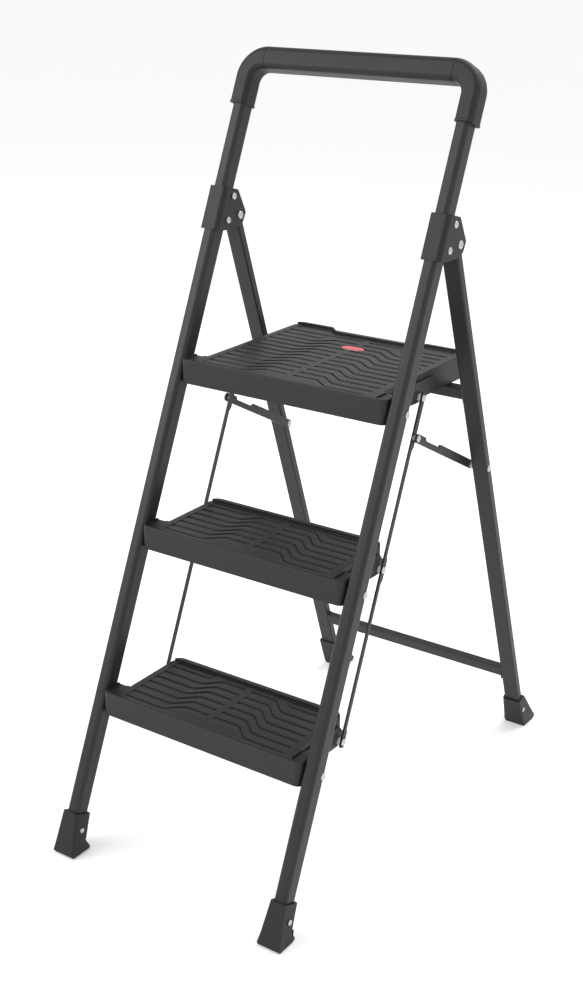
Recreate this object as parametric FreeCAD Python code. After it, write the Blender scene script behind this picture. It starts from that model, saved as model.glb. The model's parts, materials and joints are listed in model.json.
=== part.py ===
import FreeCAD, Part
import math
import os

# Folding three-tread step ladder with a tall handrail, standing open.
# Millimetres, +Z up, +X to the user's right, +Y to the back, floor at Z = 0.
# Lengths along the front rail start where the rail's centre line meets the floor.

# ---- overall frame ----
RAIL_LEAN = 22.9            # front rails lean back from the vertical, degrees
LEG_LEAN = 20.0             # rear legs lean the other way, degrees
HALF_SPAN = 185.0           # rail and leg centre lines from the middle plane
RAIL_WIDTH = 20.0           # front rail section across X
RAIL_DEPTH = 28.0           # front rail section front to back
RAIL_CORNER = 6.0
TUBE_WALL = 1.5
GRIP_CENTRE = 1206.0        # handrail centre line, along the rail
BEND_RADIUS = 30.0          # centre-line radius of the two handrail bends
RAIL_END_HEIGHT = 20.0      # tubes stop this far above the floor, inside the feet

# ---- rear frame ----
PIVOT_ALONG = 980.0         # leg pivot, along the rail
PIVOT_BEHIND = 34.5         # leg pivot behind the rail's centre line
LEG_WIDTH = 26.0
LEG_DEPTH = 13.0
LEG_CORNER = 2.5
LEG_TOP = 10.0              # leg runs past its pivot by this much
LOWER_BAR_HEIGHT = 114.0    # centre of the lower crossbar above the floor
BAR_HEIGHT = 20.0
BAR_DEPTH = 12.0
BAR_CORNER = 2.0
BAR_END_PLATE = 2.0
BAR_END_MARGIN = 5.0
BAR_BEHIND = 3.5            # upper bar behind the legs' centre line, clear of the braces

# ---- treads ----
FIRST_STEP = 236.5          # first tread's pivot, along the rail
STEP_PITCH = 250.0
STEP_NAMES = ("bottom", "middle", "platform")
PIVOT_BACK_OF_RAIL = 8.2    # tread pivots behind the rail's centre line
TREAD_RISE = 23.0           # tread top above its pivot
SKIRT_DROP = 13.0           # skirt's lower edge below the pivot
NOSE = 25.0                 # tread front ahead of the pivot
TREAD_PAST_LINK = 19.0      # lower treads' rear edge behind the link pivots
PLATFORM_PAST_BAR = 51.43   # platform's rear edge behind the upper bar's front edge
EAR_BACK = 12.0
BODY_INSET = 34.0           # side of the body behind the ears, inside the rail's centre line
SHELL_WALL = 3.5
NOSE_CORNER = 10.0
REAR_CORNER = 16.0
EAR_GAP = 1.0               # ear to rail, each side
SKIRT_END_ROUND = 8.0
LIP_WIDTH = 9.0             # raised border along a tread's rear edge
LIP_HEIGHT = 2.0
RIB = 2.0
RIB_DEPTH = 9.0
RIB_PITCH = 42.0
RECESS_HALF_TOP = 84.0      # hand cut-out in the platform's rear edge
RECESS_HALF_FLOOR = 70.0
RECESS_DEPTH = 14.0

# ---- link gear ----
LINK_BACK = 105.0           # strap pivots behind the tread pivots
LINK_DROP = 9.0
PLATE = 3.0
STRAP_WIDTH = 9.0
STRAP_NECK_WIDTH = 6.0
STRAP_END = 8.0             # strap runs past its end pivots
BRACE_ON_STRAP = 57.5       # brace joint below the strap's top pivot
BRACE_ON_LEG = 388.0        # brace pivot down the rear leg
STRAP_WIDE = 14.0           # wide part of a strap either side of a pivot
STRAP_SLOPE = 6.0           # length over which it narrows
BRACE_WIDTH = 13.0
BRACE_NOTCH = 4.5
NOTCH_START = 22.0          # notch from its front joint, leaves room for the folded bar
NOTCH_END = 74.0
NOTCH_SLOPE = 4.0
PLATE_GAP = 0.3             # between pieces that slide past each other
STRAP_FROM_BODY = 7.5       # tread body's side to the strap's inner face
PLATE_TOP = 14.0            # side plate's upper edge above the tread pivot
PLATE_FRONT = 12.0          # side plate ahead of the tread pivot
PLATE_BELOW_LINK = 7.0
PLATE_TAIL = 20.0           # side plate's point behind the link pivot
PLATFORM_TAIL = 40.0        # the same on the platform, whose plate is longer

# ---- shoulder brackets ----
BRACKET_LOW = 944.0
BRACKET_HIGH = 1010.0
BRACKET_SKIN = 3.5
CHEEK = 3.0
CHEEK_GAP = 0.3
BRACKET_RIVETS = (1001.8, 965.1)
CHEEK_BEHIND = 12.0         # cheek's point behind the leg pivot
CHEEK_LOW_SLOPE = 16.0      # rise of the cheek's lower edge from the rail to the pivot

# ---- handrail covers ----
GRIP_SIZE = 36.0
GRIP_CORNER = 9.0
SLEEVE_WIDTH = 28.0
SLEEVE_DEPTH = 34.0
SLEEVE_CORNER = 8.0
SLEEVE_END = 1137.0
SLEEVE_TAPER = 20.0
SEAM_GAP = 0.4

# ---- feet ----
FOOT_HEIGHT = 62.0          # up the tube
FOOT_INSIDE = 25.0          # foot's inner face from the tube's centre line
FOOT_OUTSIDE = 16.0         # foot's outer face from it
FRONT_TOE = 16.5            # ahead of the rail's centre line at the floor
FRONT_HEEL = 27.0
REAR_TOE = 8.5
REAR_HEEL = 32.0
FOOT_SKIN = 3.0
FOOT_SCREW_HEIGHT = 35.0

# ---- pins and rivets ----
PIVOT_PIN = 3.0
LEG_PIN = 4.0
SCREW_PIN = 2.0
HEAD_EXTRA = 2.0            # head radius beyond the pin's
HEAD_THICK = 1.6
RUNNING = 0.08              # radial running clearance
TOUCH = 0.1                 # sleeve to tube

# ---- latch ----
LATCH_BACK = 174.0          # button centre behind the platform pivot
BUTTON_LENGTH = 44.0
BUTTON_DEPTH = 15.0
BUTTON_THICK = 7.0
BUTTON_SUNK = 0.5
BUTTON_CLEAR = 1.0
STEM = 3.0
HOUSING_HALF = 27.0
HOUSING_FRONT = 18.0
HOUSING_BACK = 16.0
HOUSING_FLOOR = 18.5        # housing's underside below the platform's top
HOUSING_WALL = 2.0
HOOK_WIDTH = 14.0
HOOK_PIN_AHEAD = 12.0       # hook pin ahead of the button stem
HOOK_PIN_DROP = 33.5        # hook pin below the platform's top
HOOK_EYE = 6.0
HOOK_PIN = 2.0
HOOK_SHY = 1.2              # hook's nose ahead of the upper crossbar
HOOK_REACH = 12.0           # hook's tip below the crossbar's top edge
SPRING_WIRE = 0.5
SPRING_RADIUS = 4.6
SPRING_TURNS = 5
CLIP_RADIUS = 5.5
CLIP_THICK = 1.0

lean_sin = math.sin(math.radians(RAIL_LEAN))
lean_cos = math.cos(math.radians(RAIL_LEAN))
leg_sin = math.sin(math.radians(LEG_LEAN))
leg_cos = math.cos(math.radians(LEG_LEAN))


def vec(x, y, z):
    return FreeCAD.Vector(x, y, z)


def on_rail(along, behind):
    """Y and Z of a point given along and behind a front rail's centre line."""
    y = along * lean_sin + behind * lean_cos
    z = along * lean_cos - behind * lean_sin
    return y, z


LEG_Y, LEG_Z = on_rail(PIVOT_ALONG, PIVOT_BEHIND)


def on_leg(down, behind):
    """Y and Z of a point given down and behind a rear leg's centre line."""
    y = LEG_Y + down * leg_sin + behind * leg_cos
    z = LEG_Z - down * leg_cos + behind * leg_sin
    return y, z


LEG_FLOOR_Y = LEG_Y + LEG_Z * leg_sin / leg_cos
CENTRE_Y = (LEG_FLOOR_Y + REAR_HEEL - FRONT_TOE) / 2

# planes across X, from the tread body out to the leg
TREAD_BACK = LINK_BACK + TREAD_PAST_LINK
EAR_HALF = HALF_SPAN - RAIL_WIDTH / 2 - EAR_GAP
BODY_HALF = HALF_SPAN - BODY_INSET
FOOT_INNER = HALF_SPAN - FOOT_INSIDE
FOOT_OUTER = HALF_SPAN + FOOT_OUTSIDE
PLATE_IN = BODY_HALF + PLATE_GAP
PLATE_OUT = PLATE_IN + PLATE
STRAP_IN = BODY_HALF + STRAP_FROM_BODY
STRAP_OUT = STRAP_IN + PLATE
BRACE_IN = STRAP_OUT + 2 * HEAD_THICK + 2 * PLATE_GAP
BRACE_OUT = BRACE_IN + PLATE
LEG_IN = HALF_SPAN - LEG_WIDTH / 2
LEG_OUT = HALF_SPAN + LEG_WIDTH / 2
BRACKET_IN = LEG_IN - CHEEK_GAP - CHEEK
BRACKET_OUT = LEG_OUT + CHEEK_GAP + CHEEK


def tread_pivot(number):
    return on_rail(FIRST_STEP + number * STEP_PITCH, PIVOT_BACK_OF_RAIL)


def link_pivot(number):
    y, z = tread_pivot(number)
    return y + LINK_BACK, z - LINK_DROP


def save(name, shape):
    """Centres the piece on the object's own origin and writes it."""
    shape = shape.copy()
    shape.translate(vec(0, -CENTRE_Y, 0))
    shape.exportStep("parts/" + name + ".step")


def other_side(shape):
    return shape.mirror(vec(0, 0, 0), vec(1, 0, 0))


def save_pair(name, shape):
    """The given piece is the right-hand one; its mirror image is the left."""
    save(name + "_right", shape)
    save(name + "_left", other_side(shape))


def both_sides(shapes):
    return Part.Compound(shapes + [other_side(s) for s in shapes])


def lean_back(shape):
    """Turns a piece built on an upright rail to the rail's lean."""
    shape.rotate(vec(0, 0, 0), vec(1, 0, 0), -RAIL_LEAN)
    return shape


def hang_on_leg(shape):
    """Turns a piece built under an upright leg to the leg's lean, at its pivot."""
    shape.rotate(vec(0, 0, 0), vec(1, 0, 0), LEG_LEAN)
    shape.translate(vec(0, LEG_Y, LEG_Z))
    return shape


def block(x0, x1, y0, y1, z0, z1):
    return Part.makeBox(x1 - x0, y1 - y0, z1 - z0, vec(x0, y0, z0))


def side_prism(outline, x0, x1):
    """A closed Y-Z outline pulled along X."""
    points = [vec(x0, y, z) for y, z in outline]
    wire = Part.makePolygon(points + points[:1])
    return Part.Face(wire).extrude(vec(x1 - x0, 0, 0))


def plan_prism(outline, z0, z1):
    """A closed X-Y outline pulled along Z."""
    points = [vec(x, y, z0) for x, y in outline]
    wire = Part.makePolygon(points + points[:1])
    return Part.Face(wire).extrude(vec(0, 0, z1 - z0))


def rod(x0, x1, place, radius):
    """A cylinder along X through a Y-Z place."""
    y, z = place
    return Part.makeCylinder(radius, x1 - x0, vec(x0, y, z), vec(1, 0, 0))


def rivet(x0, x1, place, radius):
    """A pin from x0 to x1 with a domed head on each end."""
    head = radius + HEAD_EXTRA
    inner = rod(x0 - HEAD_THICK, x0, place, head)
    outer = rod(x1, x1 + HEAD_THICK, place, head)
    body = rod(x0, x1, place, radius).fuse([inner, outer]).removeSplitter()
    rims = [e for e in body.Edges if is_rim(e, x0 - HEAD_THICK, x1 + HEAD_THICK, head)]
    return body.makeFillet(HEAD_THICK * 0.6, rims)


def is_rim(edge, x0, x1, radius):
    if not isinstance(edge.Curve, Part.Circle):
        return False
    x = edge.Curve.Center.x
    on_end = min(abs(x - x0), abs(x - x1)) < 0.01
    return on_end and abs(edge.Curve.Radius - radius) < 0.01


def round_rect(width, depth, radius, z, x=0.0, y=0.0):
    """A rounded rectangle wire on a level plane."""
    w = width / 2 - radius
    d = depth / 2 - radius
    edges = []
    for sx, sy, turn in ((1, 1, 0), (-1, 1, 90), (-1, -1, 180), (1, -1, 270)):
        centre = vec(x + sx * w, y + sy * d, z)
        edges.append(Part.makeCircle(radius, centre, vec(0, 0, 1), turn, turn + 90))
    corners = []
    for this, after in zip(edges, edges[1:] + edges[:1]):
        corners.append(this)
        corners.append(Part.makeLine(this.lastVertex().Point, after.firstVertex().Point))
    return Part.Wire(corners)


def bar(width, depth, radius, x, z0, z1):
    face = Part.Face(round_rect(width, depth, radius, z0, x))
    return face.extrude(vec(0, 0, z1 - z0))


def vertical_edges(shape, x, y):
    """Upright edges of a shape that stand at the given X and Y."""
    found = []
    for edge in shape.Edges:
        a = edge.Vertexes[0].Point
        b = edge.Vertexes[-1].Point
        upright = abs(a.x - b.x) < 0.01 and abs(a.y - b.y) < 0.01
        if upright and abs(abs(a.x) - x) < 0.01 and abs(a.y - y) < 0.01:
            found.append(edge)
    return found


# ---------------------------------------------------------------- front frame
def hoop(width, depth, radius, low):
    """An upside-down U of the given section, built upright, down to low."""
    shoulder = GRIP_CENTRE - BEND_RADIUS
    leg = bar(width, depth, radius, HALF_SPAN, low, shoulder)
    section = Part.Face(round_rect(width, depth, radius, shoulder, HALF_SPAN))
    turn_at = vec(HALF_SPAN - BEND_RADIUS, 0, shoulder)
    bend = section.revolve(turn_at, vec(0, 1, 0), -90)
    top = section.copy()
    top.rotate(turn_at, vec(0, 1, 0), -90)
    cross = top.extrude(vec(-2 * (HALF_SPAN - BEND_RADIUS), 0, 0))
    right = leg.fuse(bend)
    return right.fuse([other_side(right), cross]).removeSplitter()


def front_tube():
    outer = hoop(RAIL_WIDTH, RAIL_DEPTH, RAIL_CORNER, -RAIL_DEPTH)
    hollow = hoop(RAIL_WIDTH - 2 * TUBE_WALL, RAIL_DEPTH - 2 * TUBE_WALL,
                  RAIL_CORNER - TUBE_WALL, -2 * RAIL_DEPTH)
    tube = lean_back(outer.cut(hollow))
    reach = 2 * HALF_SPAN
    floor_cut = block(-reach, reach, -reach, reach, -reach, RAIL_END_HEIGHT)
    holes = [rod(0, reach, tread_pivot(n), PIVOT_PIN) for n in range(len(STEP_NAMES))]
    for along in BRACKET_RIVETS:
        holes.append(rod(0, reach, on_rail(along, PIVOT_BACK_OF_RAIL), PIVOT_PIN))
    holes += [other_side(h) for h in holes]
    holes += both_sides([front_screw()]).Solids
    return tube.cut([floor_cut] + holes)


def hoop_core():
    """Space that the tube takes inside its covers."""
    return hoop(RAIL_WIDTH + 2 * TOUCH, RAIL_DEPTH + 2 * TOUCH, RAIL_CORNER, 0)


def grip_cover():
    end = HALF_SPAN - BEND_RADIUS - SEAM_GAP / 2
    skin = Part.Face(round_rect(GRIP_SIZE, GRIP_SIZE, GRIP_CORNER, 0))
    grip = skin.extrude(vec(0, 0, 2 * end))
    grip.rotate(vec(0, 0, 0), vec(0, 1, 0), 90)
    grip.translate(vec(-end, 0, GRIP_CENTRE))
    return lean_back(grip.cut(hoop_core()))


def corner_cover():
    """Right-hand bend cover: a square elbow that narrows into a sleeve."""
    shoulder = GRIP_CENTRE - BEND_RADIUS
    neck = shoulder - SLEEVE_TAPER
    big = round_rect(GRIP_SIZE, GRIP_SIZE, GRIP_CORNER, shoulder, HALF_SPAN)
    small = round_rect(SLEEVE_WIDTH, SLEEVE_DEPTH, SLEEVE_CORNER, neck, HALF_SPAN)
    turn_at = vec(HALF_SPAN - BEND_RADIUS, 0, shoulder)
    elbow = Part.Face(big).revolve(turn_at, vec(0, 1, 0), -90)
    taper = Part.makeLoft([big, small], True)
    sleeve = bar(SLEEVE_WIDTH, SLEEVE_DEPTH, SLEEVE_CORNER, HALF_SPAN, SLEEVE_END, neck)
    cover = elbow.fuse([taper, sleeve]).removeSplitter()
    reach = HALF_SPAN - BEND_RADIUS + SEAM_GAP / 2
    seam = block(0, reach, -GRIP_SIZE, GRIP_SIZE, shoulder, GRIP_CENTRE + GRIP_SIZE)
    return lean_back(cover.cut([hoop_core(), seam]))


def shoulder_bracket():
    """Right-hand moulding: a sleeve on the rail with two cheeks for the leg."""
    front = RAIL_DEPTH / 2 + BRACKET_SKIN
    sleeve = block(BRACKET_IN, BRACKET_OUT, -front, front, BRACKET_LOW, BRACKET_HIGH)
    corners = vertical_edges(sleeve, BRACKET_IN, -front)
    corners += vertical_edges(sleeve, BRACKET_OUT, -front)
    sleeve = sleeve.makeFillet(RAIL_CORNER, corners)
    pocket = bar(RAIL_WIDTH + 2 * TOUCH, RAIL_DEPTH + 2 * TOUCH, RAIL_CORNER, HALF_SPAN,
                 BRACKET_LOW - 1, BRACKET_HIGH + 1)
    tip = PIVOT_BEHIND + CHEEK_BEHIND
    half_pin = LEG_PIN + HEAD_EXTRA
    outline = [(0, BRACKET_LOW), (front, BRACKET_LOW), (PIVOT_BEHIND, BRACKET_LOW + CHEEK_LOW_SLOPE),
               (tip, PIVOT_ALONG - half_pin), (tip, PIVOT_ALONG + half_pin),
               (front, BRACKET_HIGH), (0, BRACKET_HIGH)]
    cheeks = [side_prism(outline, BRACKET_IN, BRACKET_IN + CHEEK),
              side_prism(outline, BRACKET_OUT - CHEEK, BRACKET_OUT)]
    solid = sleeve.fuse(cheeks).removeSplitter().cut(pocket)
    bracket = lean_back(solid)
    holes = [rod(0, 2 * HALF_SPAN, (LEG_Y, LEG_Z), LEG_PIN)]
    for along in BRACKET_RIVETS:
        holes.append(rod(0, 2 * HALF_SPAN, on_rail(along, PIVOT_BACK_OF_RAIL), PIVOT_PIN))
    return bracket.cut(holes)


def bracket_rivets():
    pins = [rivet(BRACKET_IN, BRACKET_OUT, on_rail(along, PIVOT_BACK_OF_RAIL), PIVOT_PIN)
            for along in BRACKET_RIVETS]
    return both_sides(pins)


def leg_pivots():
    return both_sides([rivet(BRACKET_IN, BRACKET_OUT, (LEG_Y, LEG_Z), LEG_PIN)])


def tread_pivots():
    """Rivets that carry the treads, through each rail and into the treads."""
    inner = BODY_HALF - SHELL_WALL - PLATE_GAP
    outer = HALF_SPAN + RAIL_WIDTH / 2
    pins = [rivet(inner, outer, tread_pivot(n), PIVOT_PIN) for n in range(len(STEP_NAMES))]
    return both_sides(pins)


# ---------------------------------------------------------------- feet
def boot(toe, heel, centre_top, front_top, heel_top, half_top):
    """A flared boot from a floor outline up to a smaller top outline."""
    low_y0, low_y1 = toe, heel
    y_top, z_top = centre_top
    floor = [(FOOT_INNER, low_y0), (FOOT_OUTER, low_y0), (FOOT_OUTER, low_y1), (FOOT_INNER, low_y1)]
    lower = [vec(x, y, 0) for x, y in floor]
    front = (y_top + front_top[0], z_top + front_top[1])
    back = (y_top + heel_top[0], z_top + heel_top[1])
    x0 = HALF_SPAN - half_top
    x1 = HALF_SPAN + half_top
    upper = [vec(x0, *front), vec(x1, *front), vec(x1, *back), vec(x0, *back)]
    base = Part.makePolygon(lower + lower[:1])
    top = Part.makePolygon(upper + upper[:1])
    return Part.makeLoft([base, top], True, True)


def front_foot():
    half_depth = RAIL_DEPTH / 2 + FOOT_SKIN
    front_top = (-half_depth * lean_cos, half_depth * lean_sin)
    heel_top = (half_depth * lean_cos, -half_depth * lean_sin)
    half_top = RAIL_WIDTH / 2 + FOOT_SKIN
    shell = boot(-FRONT_TOE, FRONT_HEEL, on_rail(FOOT_HEIGHT, 0), front_top, heel_top, half_top)
    pocket = lean_back(bar(RAIL_WIDTH + 2 * TOUCH, RAIL_DEPTH + 2 * TOUCH, RAIL_CORNER,
                           HALF_SPAN, -RAIL_DEPTH, 2 * FOOT_HEIGHT))
    reach = 2 * HALF_SPAN
    solid_part = block(0, reach, -reach, reach, -reach, RAIL_END_HEIGHT)
    return shell.cut([pocket.cut(solid_part), front_screw()])


def rear_foot():
    half_depth = LEG_DEPTH / 2 + FOOT_SKIN
    front_top = (-half_depth * leg_cos, -half_depth * leg_sin)
    heel_top = (half_depth * leg_cos, half_depth * leg_sin)
    half_top = LEG_WIDTH / 2 + FOOT_SKIN
    top = on_leg(LEG_Z / leg_cos - FOOT_HEIGHT, 0)
    shell = boot(LEG_FLOOR_Y - REAR_TOE, LEG_FLOOR_Y + REAR_HEEL, top,
                 front_top, heel_top, half_top)
    pocket = bar(LEG_WIDTH + 2 * TOUCH, LEG_DEPTH + 2 * TOUCH, LEG_CORNER, HALF_SPAN,
                 -LEG_Z / leg_cos, 0)
    pocket = hang_on_leg(pocket)
    reach = 2 * LEG_FLOOR_Y
    solid_part = block(0, reach, -reach, reach, -reach, RAIL_END_HEIGHT)
    return shell.cut([pocket.cut(solid_part), rear_screw()])


def foot_screw(place):
    """Round-headed screw through the boot and the tube behind it."""
    pin = rod(FOOT_INNER + FOOT_SKIN * 3, FOOT_OUTER - 1, place, SCREW_PIN)
    head = rod(FOOT_OUTER - 1, FOOT_OUTER + HEAD_THICK, place, SCREW_PIN + HEAD_EXTRA)
    return pin.fuse(head).removeSplitter()


def front_screw():
    along = FOOT_SCREW_HEIGHT / lean_cos
    return foot_screw(on_rail(along, 0))


def rear_screw():
    return foot_screw(on_leg((LEG_Z - FOOT_SCREW_HEIGHT) / leg_cos, 0))


# ---------------------------------------------------------------- rear frame
def rear_leg():
    length = LEG_Z / leg_cos + LEG_WIDTH
    outer = bar(LEG_WIDTH, LEG_DEPTH, LEG_CORNER, HALF_SPAN, -length, LEG_TOP)
    inner = bar(LEG_WIDTH - 2 * TUBE_WALL, LEG_DEPTH - 2 * TUBE_WALL,
                LEG_CORNER - TUBE_WALL, HALF_SPAN, -length - 1, LEG_TOP + 1)
    leg = hang_on_leg(outer.cut(inner))
    reach = 2 * LEG_FLOOR_Y
    floor_cut = block(0, reach, -reach, reach, -reach, RAIL_END_HEIGHT)
    pivot_hole = rod(0, 2 * HALF_SPAN, (LEG_Y, LEG_Z), LEG_PIN + RUNNING)
    brace_hole = rod(0, 2 * HALF_SPAN, on_leg(BRACE_ON_LEG, 0), PIVOT_PIN)
    return leg.cut([floor_cut, pivot_hole, brace_hole, rear_screw()])


def crossbar(down, behind):
    """A square tube between the legs, with a flange welded to each leg."""
    section = Part.Face(round_rect(BAR_HEIGHT, BAR_DEPTH, BAR_CORNER, 0))
    hole = Part.Face(round_rect(BAR_HEIGHT - 2 * TUBE_WALL, BAR_DEPTH - 2 * TUBE_WALL,
                                BAR_CORNER - TUBE_WALL, 0))
    half = LEG_IN - BAR_END_PLATE
    tube = section.cut(hole).extrude(vec(0, 0, 2 * half))
    tube.rotate(vec(0, 0, 0), vec(0, 1, 0), 90)
    tube.translate(vec(-half, behind, -down))
    tall = BAR_HEIGHT / 2 + BAR_END_MARGIN
    front = behind - BAR_DEPTH / 2
    back = min(behind, 0) + BAR_DEPTH / 2
    outline = [(front, -down - tall), (back, -down - tall), (back, -down + BAR_HEIGHT / 2),
               (front, -down + BAR_HEIGHT / 2)]
    plate = side_prism(outline, half, LEG_IN)
    return hang_on_leg(tube.fuse([plate, other_side(plate)]))


def upper_bar_down():
    """The platform's skirt rests on the upper bar's highest edge."""
    skirt_low = tread_pivot(2)[1] - SKIRT_DROP
    top_above_centre = BAR_HEIGHT / 2 * leg_cos + BAR_DEPTH / 2 * leg_sin
    centre_z = skirt_low - PLATE_GAP - top_above_centre
    return (LEG_Z - centre_z + BAR_BEHIND * leg_sin) / leg_cos


def platform_back():
    """The platform's rear edge lies past the upper bar that it rests on."""
    bar_y = on_leg(upper_bar_down() - BAR_HEIGHT / 2, BAR_BEHIND - BAR_DEPTH / 2)[0]
    return bar_y - tread_pivot(2)[0] + PLATFORM_PAST_BAR


def brace_pivots():
    pin = rivet(BRACE_IN, LEG_OUT, on_leg(BRACE_ON_LEG, 0), PIVOT_PIN)
    return both_sides([pin])


def brace_spacers():
    place = on_leg(BRACE_ON_LEG, 0)
    ring = rod(BRACE_OUT + PLATE_GAP, LEG_IN, place, PIVOT_PIN + HEAD_EXTRA + 1)
    return both_sides([ring.cut(rod(0, LEG_OUT, place, PIVOT_PIN))])


# ---------------------------------------------------------------- treads
def tread_outline(back, recessed):
    right = [(EAR_HALF, -NOSE), (EAR_HALF, EAR_BACK), (BODY_HALF, EAR_BACK), (BODY_HALF, back)]
    if recessed:
        right += [(RECESS_HALF_TOP, back), (RECESS_HALF_FLOOR, back - RECESS_DEPTH)]
    left = [(-x, y) for x, y in reversed(right)]
    return right + left


def cavity_back(back, recessed):
    """Rear end of the open underside, ahead of the platform's hand cut-out."""
    return back - SHELL_WALL - (RECESS_DEPTH if recessed else 0)


def tread(back, recessed):
    """Moulded shell around its pivot: top, skirts, ears and lip."""
    outline = tread_outline(back, recessed)
    solid = plan_prism(outline, -SKIRT_DROP, TREAD_RISE)
    solid = solid.makeFillet(NOSE_CORNER, vertical_edges(solid, EAR_HALF, -NOSE))
    solid = solid.makeFillet(REAR_CORNER, vertical_edges(solid, BODY_HALF, back))
    ends = [e for e in solid.Edges if is_skirt_end(e)]
    solid = solid.makeFillet(SKIRT_END_ROUND, ends)
    under_top = TREAD_RISE - SHELL_WALL
    body = BODY_HALF - SHELL_WALL
    cavity = block(-body, body, SHELL_WALL - NOSE, cavity_back(back, recessed),
                   -SKIRT_DROP - 1, under_top)
    wings = []
    if recessed:
        side_room = block(RECESS_HALF_TOP + SHELL_WALL, body, 0, back - SHELL_WALL,
                          -SKIRT_DROP - 1, under_top)
        wings = [side_room, other_side(side_room)]
    ear_wall = EAR_HALF - SHELL_WALL
    ear = block(BODY_HALF, ear_wall, SHELL_WALL - NOSE, EAR_BACK - SHELL_WALL,
                -SKIRT_DROP - 1, under_top)
    ear_mouth = block(BODY_HALF, ear_wall, 0, EAR_BACK + 1, -SKIRT_DROP - 1, PLATE_TOP + PLATE_GAP)
    ear_cut = side_prism([(EAR_BACK + 1, -SKIRT_DROP - 1), (EAR_BACK + 1, 1 - SKIRT_DROP / 2),
                          (0, -SKIRT_DROP - 1)], BODY_HALF, EAR_HALF + 1)
    ears = [ear, ear_mouth, ear_cut]
    ears += [other_side(e) for e in ears]
    shell = solid.cut([cavity] + wings + ears)
    return shell.fuse(rear_lip(outline, back, recessed)).removeSplitter()


def is_skirt_end(edge):
    a = edge.Vertexes[0].Point
    b = edge.Vertexes[-1].Point
    low = abs(a.z + SKIRT_DROP) < 0.01 and abs(b.z + SKIRT_DROP) < 0.01
    outside = abs(abs(a.x) - EAR_HALF) < 0.01 and abs(abs(b.x) - EAR_HALF) < 0.01
    return low and outside


def rear_lip(outline, back, recessed):
    """Raised rim along the rear edge of the top."""
    top = plan_prism(outline, TREAD_RISE - 1, TREAD_RISE + LIP_HEIGHT)
    top = top.makeFillet(REAR_CORNER, vertical_edges(top, BODY_HALF, back))
    depth = LIP_WIDTH + (RECESS_DEPTH if recessed else 0)
    return top.common(block(-BODY_HALF, BODY_HALF, back - depth, back, 0, 2 * TREAD_RISE))


def tread_ribs(back, recessed):
    """Stiffening grid that fills the space under the top, clear of the latch housing."""
    body = BODY_HALF - SHELL_WALL
    inner_back = cavity_back(back, recessed)
    under_top = TREAD_RISE - SHELL_WALL
    low = under_top - RIB_DEPTH
    found = []
    count = int(2 * body // RIB_PITCH)
    for i in range(1, count):
        x = -body + i * 2 * body / count
        found.append(block(x - RIB / 2, x + RIB / 2, SHELL_WALL - NOSE, inner_back, low, under_top))
    rows = int((inner_back + NOSE) // RIB_PITCH)
    for i in range(1, rows):
        y = -NOSE + i * (inner_back + NOSE) / rows
        found.append(block(-body, body, y - RIB / 2, y + RIB / 2, low, under_top))
    if recessed:
        room = block(-HOUSING_HALF - 1, HOUSING_HALF + 1, LATCH_BACK - HOUSING_FRONT - 1,
                     LATCH_BACK + HOUSING_BACK + 1, low - 1, under_top)
        found = [rib.cut(room) for rib in found]
    return found[0].fuse(found[1:]).removeSplitter()


def hexagon(length, depth, grow=0.0):
    """Long six-sided outline about the button's centre."""
    long_half = length / 2 + grow
    deep_half = depth / 2 + grow
    flat = long_half - depth / 2
    right = [(flat, -deep_half), (long_half, 0), (flat, deep_half)]
    return right + [(-x, y) for x, y in reversed(right)]


def placed_tread(number):
    y, z = tread_pivot(number)
    is_platform = number == len(STEP_NAMES) - 1
    piece = tread(platform_back() if is_platform else TREAD_BACK, is_platform)
    holes = [rod(0, EAR_HALF + 1, (0, 0), PIVOT_PIN + RUNNING),
             rod(0, EAR_HALF + 1, (LINK_BACK, -LINK_DROP), PIVOT_PIN)]
    holes += [other_side(h) for h in holes]
    if is_platform:
        window = plan_prism(hexagon(BUTTON_LENGTH, BUTTON_DEPTH, BUTTON_CLEAR), 0, 2 * TREAD_RISE)
        window.translate(vec(0, LATCH_BACK, 0))
        holes.append(window)
    piece = piece.cut(holes)
    piece.translate(vec(0, y, z))
    return piece


def placed_ribs(number):
    y, z = tread_pivot(number)
    is_platform = number == len(STEP_NAMES) - 1
    grid = tread_ribs(platform_back() if is_platform else TREAD_BACK, is_platform)
    grid.translate(vec(0, y, z))
    return grid


def side_plate(number):
    """Steel plate beside a tread, from its pivot to its link pivot."""
    y, z = tread_pivot(number)
    link = (LINK_BACK, -LINK_DROP)
    low = -LINK_DROP - PLATE_BELOW_LINK
    if number == len(STEP_NAMES) - 1:
        rear = LINK_BACK + PLATFORM_TAIL
        tail = [(LINK_BACK + PLATE_FRONT, low), (rear, 0), (rear, PLATE_TOP)]
    else:
        rear = LINK_BACK + PLATE_TAIL
        tail = [(LINK_BACK + PLATE_FRONT, low), (rear, -LINK_DROP), (LINK_BACK, PLATE_TOP)]
    outline = [(-PLATE_FRONT, -LINK_DROP), (LINK_BACK - PLATE_FRONT, low)] + tail
    outline += [(-PLATE_FRONT, PLATE_TOP)]
    plate = side_prism(outline, PLATE_IN, PLATE_OUT)
    holes = [rod(0, EAR_HALF, (0, 0), PIVOT_PIN + RUNNING), rod(0, EAR_HALF, link, PIVOT_PIN)]
    plate = plate.cut(holes)
    plate.translate(vec(0, y, z))
    return plate


def link_pivots(number):
    inner = BODY_HALF - SHELL_WALL
    return both_sides([rivet(inner, STRAP_OUT + PLATE_GAP / 2, link_pivot(number), PIVOT_PIN)])


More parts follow.
